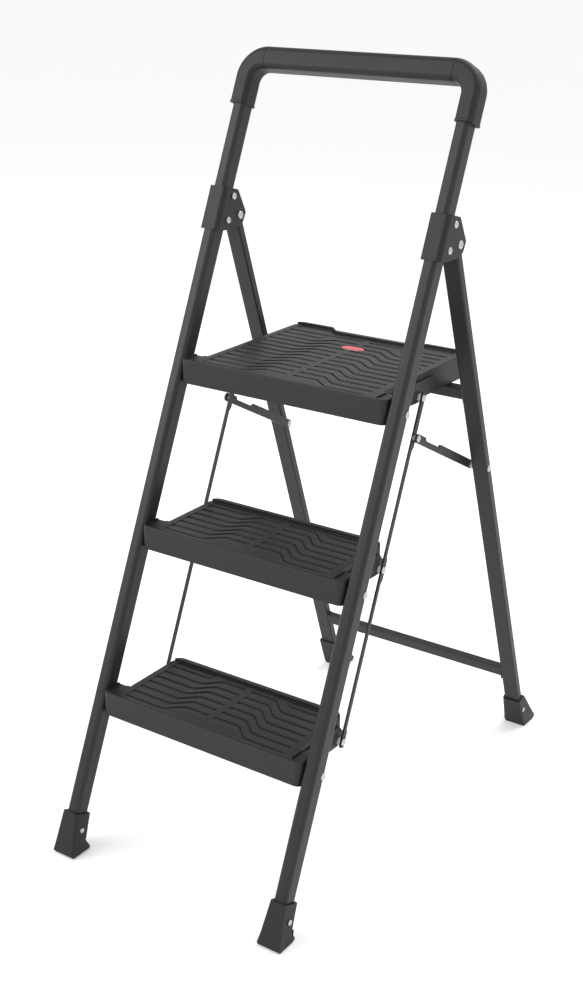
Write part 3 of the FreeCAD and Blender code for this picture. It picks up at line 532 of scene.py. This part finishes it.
# ---- Feet --------------------------------------------------------------------
# Moulded dark grey boots pushed on the ends of the tubes: flared at the floor,
# with a waist above the heel, a rim round the tube and slanted ribs outside.
foot_plastic = speckled("foot_plastic", (0.012, 0.012, 0.014), (0.018, 0.018, 0.020),
                        rough=0.45, rough_spread=0.12, grain=1200, strength=0.35, specular=0.3)


TUBE_CENTRE = 185
OUTER_EDGE = 198
BOOT_CORNER = 4.5
BOOT_OUTER_CORNER = 1.2
BOOT_WALL = 1.8
BOOT_DEEP = 4
RIB_ROOT = 200.0
RIB_FACE = 203.2
RIB_WIDTH = 2.2
RIB_LOW = 5
RIB_RISE = (-1.6, 13)
RIB_TAPER = (0.6, 0.8, 1)


def stacked(mesh, levels):
    """A closed skin through four-cornered outlines from the floor up."""
    faces = [outline(mesh, corners) for corners in levels]
    for low, high in zip(faces, faces[1:]):
        bmesh.ops.bridge_loops(mesh, edges=[*low.edges, *high.edges])
    bmesh.ops.delete(mesh, geom=faces[1:-1], context="FACES_ONLY")


def level(x0, x1, y0, y1, z0, z1=None):
    """Four corners at one height, or sloped from z0 in front to z1 at the back."""
    z1 = z0 if z1 is None else z1
    return [(x0, y0, z0), (x1, y0, z0), (x1, y1, z1), (x0, y1, z1)]


def boot(levels, inward):
    """A foot from its levels, with softened corners and a hollow top."""
    mesh = bmesh.new()
    stacked(mesh, levels)
    bmesh.ops.recalc_face_normals(mesh, faces=mesh.faces)
    middle = (levels[0][0][1] + levels[0][2][1]) / 2
    soften(mesh, running(mesh, 2, lambda m: m.x < TUBE_CENTRE or m.y > middle + m.z * inward / 2),
           BOOT_CORNER)
    soften(mesh, running(mesh, 2, lambda m: m.x > OUTER_EDGE and m.y < middle),
           BOOT_OUTER_CORNER, 2)
    top = max(mesh.faces, key=lambda f: f.calc_center_median().z)
    open_end(mesh, top, BOOT_WALL * MM, top.normal * -BOOT_DEEP * MM)
    return mesh


def rib(mesh, y, slant):
    """One slanted rib on the outer face of a foot, from its lower end."""
    low = outline(mesh, level(RIB_ROOT, RIB_FACE, y, y + RIB_WIDTH, RIB_LOW))
    inward, height = RIB_RISE
    pull(mesh, low, Vector((inward, slant, height)) * MM, RIB_TAPER)


front_boot = boot([level(166, 201.5, -9, 26, 0), level(163.5, 203, -12.5, 28, 4),
                   level(166, 201.5, -8.5, 22, 16), level(172, 198, 8.5, 39.8, 63.7, 50.5)], 1)
for start in (6, 11.5, 17):
    rib(front_boot, start, 5.5)
front_foot_place = Matrix.Translation((0, rail_foot.y, 0))
add_pair("front_boot", front_boot, "front_frame", foot_plastic, "front_foot",
         front_foot_place)
leg_pivot = pivots["rear_frame_fold"]
brace_on_leg = pivots["right_brace_swing"]
leg_slope = (brace_on_leg.y - leg_pivot.y) / (leg_pivot.z - brace_on_leg.z)
rear_boot = boot([level(165, 201.5, -6, 32, 0), level(163, 203, -7.5, 34, 4),
                  level(165, 202.5, -13.2, 23, 16), level(169, 201, -30.1, -12.3, 55, 61.5)], -1)
for start in (4, 9.5, 15):
    rib(rear_boot, start, -3.5)
add_pair("rear_boot", rear_boot, "rear_frame", foot_plastic, "rear_foot",
         Matrix.Translation((0, leg_pivot.y + leg_pivot.z * leg_slope, 0)))

# ---- Treads ------------------------------------------------------------------
# Hollow dark grey mouldings with deep skirts and ears that reach to the rails.
# Rows of sloped grooves in waves make the tops grip; a lip runs along the rear.
BODY = 151
EAR = 174
NOSE = 25
EAR_BACK = 12
STEP_BACK = 124
PLATFORM_BACK = 252
TOP = 23.0
SKIRT = 13
SHELL = 3.5
EAR_ROOF = 14.3
REAR_CORNER = 16
NOSE_CORNER = 10
HEEL_ROUND = 8
TOP_ROUND = 2.2
RECESS = 14
RECESS_SPAN = (70, 84)
DISH = (155, 170.6)
DISH_RUN = (-19, 14)
DISH_DEPTH = 2.4
DISH_CORNER = 3
PAST = 30
OVER = 9
GROOVE_TOOL_OVER = 5
LIP = 3.0
LIP_ROOT = 2.3
LIP_INSET = 0.2
LIP_RUN = 60
LIP_ROUND = 1.1
LIP_TOOL = (190, 20)
PANEL = 139.0
PANEL_SUNK = 0.4
PANEL_CHAMFER_START = 130
LAND = (5, 6)
GROOVE = 1.6
GROOVE_END = 1.2
WALL_RUN = 0.45
RAMP_SHARE = 0.6
BUTTON_BACK = 174
WINDOW = (44, 20.4)
tread_plastic = speckled("tread_plastic", (0.010, 0.010, 0.011), (0.015, 0.015, 0.017),
                         rough=0.40, rough_spread=0.12, grain=1100, strength=0.3, specular=0.36)
half_columns = [0, *LAND] + list(range(10, 43, 4)) + list(range(43, 76, 2))
half_columns += list(range(79, 136, 4)) + [PANEL - GROOVE_END, PANEL]
columns = sorted({sign * x for x in half_columns for sign in (1, -1)})


def between(value, low, high):
    """How far a value is from low to high, kept within 0 and 1."""
    return min(max((value - low) / (high - low), 0), 1)


def wave(x, line):
    """Y of a groove line, and how deep it is there from 0 to 1."""
    outer, inner, near, far, short = line
    share = between(abs(x), near, far)
    eased = (share + share * share * (3 - 2 * share)) / 2
    depth = between(abs(x), *LAND) * between(PANEL, abs(x), abs(x) + GROOVE_END)
    return inner + (outer - inner) * eased, depth * (share if short else 1)


def groove_tool(lines, chamfers):
    """Everything above the grooved panel, as one closed cutting shape."""
    rows = 3 * (len(lines) - 1) + 1
    shifts = [-chamfers[0]] + [0] * (len(lines) - 2) + [chamfers[1]]
    mesh = bmesh.new()
    bmesh.ops.create_grid(mesh, x_segments=len(columns) - 1, y_segments=rows - 1, size=0.5)
    for vert in mesh.verts:
        x = columns[round((vert.co.x + 0.5) * (len(columns) - 1))]
        row = round((0.5 - vert.co.y) * (rows - 1))
        number, part = divmod(row, 3)
        y, depth = wave(x, lines[number])
        corner = between(abs(x), PANEL_CHAMFER_START, PANEL)
        y += shifts[number] * corner
        if part == 1:
            y -= WALL_RUN
        if part == 2:
            following = wave(x, lines[number + 1])[0] + shifts[number + 1] * corner
            y -= RAMP_SHARE * (y - following)
        dip = GROOVE * depth if part == 1 else 0
        vert.co = Vector((x, y, TOP - PANEL_SUNK - dip)) * MM
    faces = list(mesh.faces)
    raised = bmesh.ops.extrude_face_region(mesh, geom=faces)["geom"]
    for vert in raised:
        if isinstance(vert, bmesh.types.BMVert):
            vert.co.z = (TOP + LIP + GROOVE_TOOL_OVER) * MM
    return mesh


def rear_edge(back, recess, inset=0):
    """Corners along a tread's rear edge, right to left."""
    side = BODY - inset
    rear = back - inset
    if not recess:
        return [(side, rear), (-side, rear)]
    near, far = RECESS_SPAN
    right = [(side, rear), (far, rear), (near, rear - RECESS)]
    return right + [(-x, y) for x, y in reversed(right)]


def slab(corners, low, high, back):
    """A prism from an outline, with its rear corners rounded."""
    mesh = bmesh.new()
    face = outline(mesh, [(x, y, low) for x, y in corners])
    pull(mesh, face, (0, 0, (high - low) * MM))
    soften(mesh, running(mesh, 2, lambda m: abs(m.x) > BODY - 1 and m.y > back - 1),
           REAR_CORNER, 7)
    return mesh


def top_rim(mesh):
    """The edges round the largest of the highest faces."""
    return max(mesh.faces, key=lambda f: (round(f.calc_center_median().z, 5), f.calc_area())).edges


def both_sides(near, far):
    """An X range on the right and the same on the left."""
    return (near, far), (-far, -near)


def tread(name, body, node, back, recess, lines, chamfers, lip_front, pivot):
    """One moulding about its pivot: shell, hollows, ear dishes, grooves and lip."""
    front = [(-BODY, EAR_BACK), (-EAR, EAR_BACK), (-EAR, -NOSE)]
    front += [(-x, y) for x, y in reversed(front)]
    shell = slab(rear_edge(back, recess) + front, -SKIRT, TOP, back)
    soften(shell, running(shell, 2, lambda m: m.y < 1 - NOSE), NOSE_CORNER, 6)
    soften(shell, running(shell, 0, lambda m: abs(m.y - EAR_BACK) < 1 and abs(m.x) > BODY and m.z < 0),
           HEEL_ROUND, 5)
    soften(shell, top_rim(shell), TOP_ROUND, 3)
    inside = BODY - SHELL
    inner_back = back - SHELL - (RECESS if recess else 0)
    shell = carve(shell, block(-inside, inside, SHELL - NOSE, inner_back, -PAST, TOP - SHELL))
    for x0, x1 in both_sides(BODY, EAR - SHELL):
        shell = carve(shell, block(x0, x1, SHELL - NOSE, PAST, -PAST, EAR_ROOF))
    for x0, x1 in both_sides(*DISH):
        dish = block(x0, x1, *DISH_RUN, TOP - DISH_DEPTH, TOP + OVER)
        soften(dish, running(dish, 2), DISH_CORNER)
        shell = carve(shell, dish)
    shell = carve(shell, groove_tool(lines, chamfers))
    lip_side = BODY - LIP_INSET
    lip = slab(rear_edge(back, recess, LIP_INSET)
               + [(-lip_side, back - LIP_RUN), (lip_side, back - LIP_RUN)],
               TOP - LIP_ROOT, TOP + LIP, back)
    soften(lip, top_rim(lip), LIP_ROUND, 2)
    reach, tall = LIP_TOOL
    ahead = bmesh.new()
    ahead_face = outline(ahead, [(x, y, TOP - OVER) for x, y in lip_front + [(-reach, 0), (reach, 0)]])
    pull(ahead, ahead_face, (0, 0, tall * MM))
    shell = carve(shell, carve(lip, ahead), "UNION")
    if recess:
        shell = carve(shell, hexagon(*WINDOW, 0, 2 * PAST))
    add_piece(name, shell, body, tread_plastic, [node],
              Matrix.Translation((0, pivot.y, pivot.z)))


def hexagon(length, depth, low, high):
    """A six-sided prism, pointed at both ends, at the latch button's place."""
    mesh = bmesh.new()
    half = length / 2
    bank = depth / 2
    corners = [(half, 0), (half - bank, bank), (bank - half, bank)]
    corners += [(-x, -y) for x, y in corners]
    face = outline(mesh, [(x, BUTTON_BACK + y, low) for x, y in corners])
    pull(mesh, face, (0, 0, (high - low) * MM))
    return mesh


STEP_WAVES = ((81, 104.3), (62.8, 86), (44.6, 67.9), (26.4, 49.7), (8.2, 31.5), (-10, 13.3),
              (-21.7, -4))
STEP_BEND = (45, 73)
SHORT_BEND = (63, 73)
PLATFORM_BEND = (43, 73)
LIP_BEND = (63, 83)
WAVE_PITCH = 19.15
step_lines = [(115, 115, *STEP_BEND, False), (100.7, 109.9, *SHORT_BEND, True)]
step_lines += [(outer, inner, *STEP_BEND, False) for outer, inner in STEP_WAVES]
for step, pivot in zip(STEPS[:2], step_pivots):
    tread(step + "_step_top", step + "_step", step + "_tread", STEP_BACK, False, step_lines,
          (5.7, 8.4), [(190, 115.4), (-190, 115.4)], pivot)
platform_lines = [(245, 228, *LIP_BEND, False), (215.7, 215.7, *PLATFORM_BEND, False),
                  (197, 206.5, *SHORT_BEND, True)]
platform_lines += [(177.9 - WAVE_PITCH * row, 198.9 - WAVE_PITCH * row, *PLATFORM_BEND, False)
                   for row in range(11)]
platform_lines += [(-22, -6, *PLATFORM_BEND, False)]
tread("platform_top", "platform", "platform_tread", PLATFORM_BACK, True, platform_lines, (5.7, 5.0),
      [(190, 245.4), (83, 245.4), (63, 228.4), (-63, 228.4), (-83, 245.4), (-190, 245.4)],
      step_pivots[2])

# ---- Latch under the platform ------------------------------------------------
# A six-sided red button in the platform's window presses a stem and a pawl under
# it; the housing and pawl are black mouldings, the pins, clip and spring steel.
red_plastic = speckled("red_plastic", (0.50, 0.075, 0.085), (0.60, 0.10, 0.11),
                       rough=0.35, rough_spread=0.12, grain=900, strength=0.2)
BUTTON = (42, 18.4)
BUTTON_SUNK = 0.5
BUTTON_UNDER = 7.5
BUTTON_ROUND = 1.0
STEM_RADIUS = 3 * MM
STEM_LENGTH = 24 * MM
STEM_MIDDLE = TOP - 19
button = hexagon(*BUTTON, TOP - BUTTON_UNDER, TOP - BUTTON_SUNK)
soften(button, top_rim(button), BUTTON_ROUND, 3)
stem = bmesh.ops.create_cone(button, cap_ends=True, segments=24, radius1=STEM_RADIUS,
                             radius2=STEM_RADIUS, depth=STEM_LENGTH)["verts"]
bmesh.ops.translate(button, vec=(0, BUTTON_BACK * MM, STEM_MIDDLE * MM), verts=stem)
add_piece("button_cap", button, "button", red_plastic, ["latch_button"],
          Matrix.Translation((0, step_pivots[2].y, step_pivots[2].z)))
finish_nodes(tread_plastic, [step + "_ribs" for step in STEPS] + ["latch_housing", "latch_hook"])
finish_nodes(zinc.material, ["latch_pin", "latch_spring", "button_clip"])
nylon = speckled("nylon", (0.55, 0.54, 0.50), (0.66, 0.65, 0.61),
                 rough=0.40, rough_spread=0.12, grain=900, strength=0.2)
finish_nodes(nylon, ["strap_washers_" + side for side in SIDES] + ["brace_spacers"])
